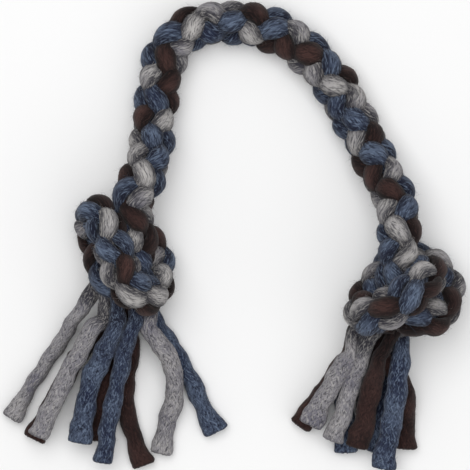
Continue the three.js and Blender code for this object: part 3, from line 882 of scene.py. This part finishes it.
class ROPETOY_OT_loose_cords(bpy.types.Operator):
    """The loose ends of the nine cords beyond each knot"""

    bl_idname = "ropetoy.loose_cords"
    bl_label = "Loose cords"

    # Inside the knot: braid steps from the mouth, distance from the rope's line, and thickness
    HIDDEN_STEPS = (3.7, 2.6, 1.5)
    MIDDLE = 0.0062
    HIDDEN_SIZE = 0.0068

    # Lengths over which a cord swells, bends at its root and spreads to its cut end, and by which its line
    # goes past the last stop
    SWELL_RUN = 0.02
    BEND_RUN = 0.018
    FLARE_RUN = 0.013
    TIP_RUN = 0.0014

    # Spread of a cut end for a flare of one, the flares that come by chance, and the broadest that a cord
    # gets
    FLARE = 0.3
    USUAL_FLARE = (0.3, 1.1)
    BROADEST = 1.42

    # Thickness over the usual one, by chance, and changes along a cord, each as its height and the length of
    # its wave: to the side, of thickness, of flatness and of tone
    USUAL_SIZE = (0.9, 1.02)
    SWAY = (0.0005, 0.035)
    UNEVEN = (0.05, 0.028)
    FLATTER = (0.05, 0.04)
    TONES = (0.2, 0.05)

    # Usual tone, how dark the painted shade on the underside is and between which heights it fades, and the
    # length of the painted shade at the root, inside the knot and just beyond it
    TONE = 0.15
    PAINTED_UNDERSIDE_SHADE = 0.5
    PAINTED_UNDERSIDE_FADE = (-0.8, 0.5)
    PAINTED_ROOT_SHADE = 0.009

    # Rings that round a cut end: step forwards and size
    CUT_END = [(0.0005, 0.96), (0.0009, 0.86), (0.0011, 0.6), (0.001, 0.3)]

    def execute(self, context):
        sizes = context.scene.rope_toy_sizes
        rope = Rope(sizes)
        materials = wools(context)
        for cord in CORDS:
            for end in ("left", "right"):
                self.loose_cord(rope, sizes, materials[shade_of(cord)], cord, end)
        return {"FINISHED"}

    def route(self, rope, cord, end):
        """Line of a loose cord from inside the knot to its cut end, and the point where it leaves."""
        mouth, way = (0, -1) if end == "left" else (RINGS, 1)
        before, last = np.array(cord[end][-2:])
        tip = last + unit(last - before) * self.TIP_RUN
        if f"{end}_root" in cord:
            own = np.array(cord[f"{end}_root"])
            return smooth_curve([*own, *cord[end][:-1], tip]), own[-1]
        outwards = rope.frame_at(rope.ring_length(mouth))[1][0] * way
        in_braid = rope.strand(cord, np.array([float(mouth)]), self.MIDDLE, 0.0)[0][0]
        root = in_braid + outwards * (CORD_ROOT / 2 + GAP)
        inside = np.array([mouth - way * step for step in self.HIDDEN_STEPS], float)
        hidden = rope.strand(cord, inside, self.MIDDLE, 0.0, held=mouth)[0]
        return smooth_curve([*hidden, root, *cord[end][:-1], tip]), root

    def run(self, rng, sizes, cord, end, line, root):
        """The cord as it is drawn along its line, and its length up to where it leaves the knot."""
        length = reach(line)[-1]
        centre = even(line, int(length / LOOSE_STEP))
        along = np.linspace(0, length, len(centre))
        tangent = unit(np.gradient(centre, axis=0))
        up = carried(tangent, len(centre) - 1, (0, 0, 1))
        side = np.cross(up, tangent)
        hidden = along[np.argmin(np.linalg.norm(centre - root, axis=1))]
        centre = centre + side * wander(rng, along, *self.SWAY)[:, None]
        swell = ease(along, hidden, hidden + self.SWELL_RUN)
        inside = 1 - ease(along, hidden - self.SWELL_RUN / 2, hidden)
        size = sizes.cord_root + (sizes.cord - sizes.cord_root) * swell
        size += (self.HIDDEN_SIZE - sizes.cord_root) * inside
        size *= rng.uniform(*self.USUAL_SIZE) + wander(rng, along, *self.UNEVEN)
        opened = cord.get("flare", {}).get(end, rng.uniform(*self.USUAL_FLARE))
        flare = ease(along, length - self.FLARE_RUN, length) * opened
        broad = 1 + (cord.get("breadth", {}).get(end, 1.0) - 1) * swell
        flat = broad * (1 + wander(rng, along, *self.FLATTER) + self.FLARE * flare)
        flat = np.minimum(flat, self.BROADEST)
        tone = np.clip(self.TONE + wander(rng, along, *self.TONES), 0, 1)
        # Painted shade: the underside of a loose cord, and its root in and near the knot, are darkened
        below = 1 - ease(np.sin(round_angles(LOOSE_SIDES)), *self.PAINTED_UNDERSIDE_FADE)
        at_root = 1 - ease(along, hidden, hidden + self.PAINTED_ROOT_SHADE)
        painted_shade = np.maximum(self.PAINTED_UNDERSIDE_SHADE * below[None, :], at_root[:, None])
        offset = CORDS.index(cord) + LOOSE_OFFSETS[end]
        return Run(centre, side, up, size / 2 * flat, size / 2 / flat, along, tone, painted_shade, offset), hidden

    def loose_cord(self, rope, sizes, material, cord, end):
        """One loose end, drawn in place of the part's node that it stands for, which is hidden."""
        rng = draws(sizes, cord, f"{end}_end")
        line, root = self.route(rope, cord, end)
        run, hidden = self.run(rng, sizes, cord, end, line, root)
        length = run.along[-1]
        felt = Felt()
        skin, fibres = add_tube(felt, rng, run, self.CUT_END)
        count = int(length * CENTIMETRES * sizes.hairs)
        add_hairs(felt, rng, run, skin, fibres, Fuzz(count, sizes.hair_length, sizes.hair_thickness))
        name = f"{cord['name']}_{end}_end"
        obj = felt.make(f"loose_{name}", material)
        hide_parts(name)
        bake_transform(obj)


class ROPETOY_OT_braid(bpy.types.Operator):
    """The nine cords where they are braided, from mouth to mouth, through both knots"""

    bl_idname = "ropetoy.braid"
    bl_label = "Braid and knots"

    # Distance of a cord from the rope's line and its wave over and under, its half width and half height, and
    # by how much it is wider and thicker where it lies over the others
    MIDDLE = 0.0055
    WAVE = 0.0025
    HALF_WIDTH = 0.0045
    HALF_HEIGHT = 0.0031
    WIDER_OVER = 0.24
    THICKER_OVER = 0.18

    # Thickness of the core
    CORE = 0.0048

    # Changes along a cord, each as its height and the length of its wave: of its place in the round, of
    # thickness, of its wave over and under, and of tone
    DRIFT = (0.13, 0.045)
    UNEVEN = (0.11, 0.031)
    WAVES = (0.22, 0.04)
    TONES = (0.6, 0.047)

    # Usual tone, and the shares of the way to the side and of the way under between which a cord is painted
    # darker, as shade in the hollows beside it and under the cords that lie over it
    TONE = 0.64
    PAINTED_SHADE_BESIDE = (0.2, 0.92)
    PAINTED_SHADE_BELOW = (0.03, 0.5)

    # Sides of a cord that bear stray fibres, and the share of those that is long
    HAIRY_SIDES = slice(2, BRAID_SIDES // 2 - 1)
    LONG_HAIRS = 0.004

    # Lengths from a joint, on the side of a knot and on the side of a leg, at which bend finds points on the
    # rope
    KNOT_SIDE = 0.012
    LEG_SIDE = 0.018

    def execute(self, context):
        sizes = context.scene.rope_toy_sizes
        rope = Rope(sizes)
        materials = wools(context)
        for cord in CORDS:
            first, last = self.ends(cord)
            left = self.under(cord, LEFT_MEET)
            right = self.under(cord, RIGHT_MEET)
            runs = [
                ("left", (first, left), ("left_knot",)),
                ("arch", (left, right), ("left_leg", "right_leg")),
                ("right", (right, last), ("right_knot",)),
            ]
            for name, steps, bodies in runs:
                obj = self.braided_cord(sizes, materials[shade_of(cord)], cord, name,
                                        self.run(rope, sizes, cord, *steps))
                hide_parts(*[f"{cord['name']}_{body}" for body in bodies])
                self.bend(rope, obj, name)
        return {"FINISHED"}

    def ends(self, cord):
        """Steps at which a cord joins and leaves the braid."""
        first = self.under(cord, BESIDE_STOP) if "left_root" in cord else BRAID_STOP
        last = self.under(cord, RINGS - BESIDE_STOP) if "right_root" in cord else RINGS - BRAID_STOP
        return first, last

    def under(self, cord, ring):
        """The next step at which a cord lies hidden under another."""
        return ring + (OVER_STEPS // 2 + cord["lay"] - ring) % OVER_STEPS

    def bend(self, rope, obj, run):
        """Bakes a length of cord's place into its mesh; the joint that it crosses and the points on either
        side are found, but nothing uses them to bend it.
        """
        joint, before, after, back, ahead = {
            "left": (LEFT_NECK, "left_knot", "left_leg", self.KNOT_SIDE, self.LEG_SIDE),
            "arch": (CROWN, "left_leg", "right_leg", self.LEG_SIDE, self.LEG_SIDE),
            "right": (RIGHT_NECK, "right_leg", "right_knot", self.LEG_SIDE, self.KNOT_SIDE),
        }[run]
        place = rope.ring_length(joint)
        start, end = rope.frame_at(np.array([place - back, place + ahead]))[0]
        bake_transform(obj)

    def run(self, rope, sizes, cord, first, last):
        """The cord as it is drawn between two braid steps."""
        rings = np.linspace(first, last, int((last - first) * STEPS_PER_RING) + 1)
        length = rope.ring_length(rings)
        # One wandering line for the whole cord, so that its drawn lengths meet
        whole = draws(sizes, cord, "whole")
        drift = wander(whole, length, *self.DRIFT)
        plump = 1 + wander(whole, length, *self.UNEVEN)
        wave = self.WAVE * (1 + wander(whole, length, *self.WAVES))
        centre, outward, over = rope.strand(cord, rings, self.MIDDLE, wave, drift)
        tangent = unit(np.gradient(centre, axis=0))
        up = unit(outward - tangent * dots(outward, tangent))
        side = np.cross(up, tangent)
        squeeze = np.minimum(rope.squeeze(length), rope.scale) * plump
        tone = np.clip(self.TONE + wander(whole, length, *self.TONES), 0, 1)
        # Painted shade: the sides and underside of a cord, and where it passes under others, are darkened
        angles = round_angles(BRAID_SIDES)
        aside = np.where(np.sin(angles) > 0, np.abs(np.cos(angles)), 1.0)
        beside = ease(aside, *self.PAINTED_SHADE_BESIDE)[None, :]
        below = ease((1 - over) / 2, *self.PAINTED_SHADE_BELOW)[:, None]
        painted_shade = 1 - (1 - beside) * (1 - below)
        wide = self.HALF_WIDTH * squeeze * (1 + self.WIDER_OVER * over)
        high = self.HALF_HEIGHT * squeeze * (1 + self.THICKER_OVER * over)
        if cord["lay"] == 0:
            wide = high = self.CORE / 2 * squeeze
        return Run(centre, side, up, wide, high, length, tone, painted_shade, CORDS.index(cord))

    def braided_cord(self, sizes, material, cord, name, run):
        """One drawn length of a braided cord; the core, which is hidden, has no stray fibres."""
        rng = draws(sizes, cord, name)
        felt = Felt()
        skin, fibres = add_tube(felt, rng, run)
        if cord["lay"] != 0:
            hairy = self.HAIRY_SIDES
            count = int((run.along[-1] - run.along[0]) * CENTIMETRES * sizes.hairs)
            fuzz = Fuzz(count, sizes.braid_hair_length, sizes.hair_thickness, self.LONG_HAIRS)
            add_hairs(felt, rng, run, skin[:, hairy], fibres[:, hairy], fuzz)
        return felt.make(f"braided_{cord['name']}_{name}", material)


class ROPETOY_PT_panel(bpy.types.Panel):
    """Sizes, colours and the steps of drawing the toy"""

    bl_idname = "ROPETOY_PT_panel"
    bl_label = "Rope toy"
    bl_space_type = "VIEW_3D"
    bl_region_type = "UI"
    bl_category = "Rope toy"

    def draw(self, context):
        for step in OPERATORS:
            self.layout.operator(step.bl_idname)
        for group in (context.scene.rope_toy_sizes, context.scene.rope_toy_colours):
            box = self.layout.box()
            for name in group.bl_rna.properties.keys():
                if name not in ("rna_type", "name"):
                    box.prop(group, name)


OPERATORS = (ROPETOY_OT_stage, ROPETOY_OT_loose_cords, ROPETOY_OT_braid)
CLASSES = (RopeToySizes, RopeToyColours, *OPERATORS, ROPETOY_PT_panel)


def register():
    for item in CLASSES:
        bpy.utils.register_class(item)
    bpy.types.Scene.rope_toy_sizes = PointerProperty(type=RopeToySizes)
    bpy.types.Scene.rope_toy_colours = PointerProperty(type=RopeToyColours)


def unregister():
    del bpy.types.Scene.rope_toy_colours
    del bpy.types.Scene.rope_toy_sizes
    for item in reversed(CLASSES):
        bpy.utils.unregister_class(item)


def main():
    register()
    bpy.ops.ropetoy.stage()
    bpy.ops.ropetoy.loose_cords()
    bpy.ops.ropetoy.braid()


if __name__ == "__main__":
    main()
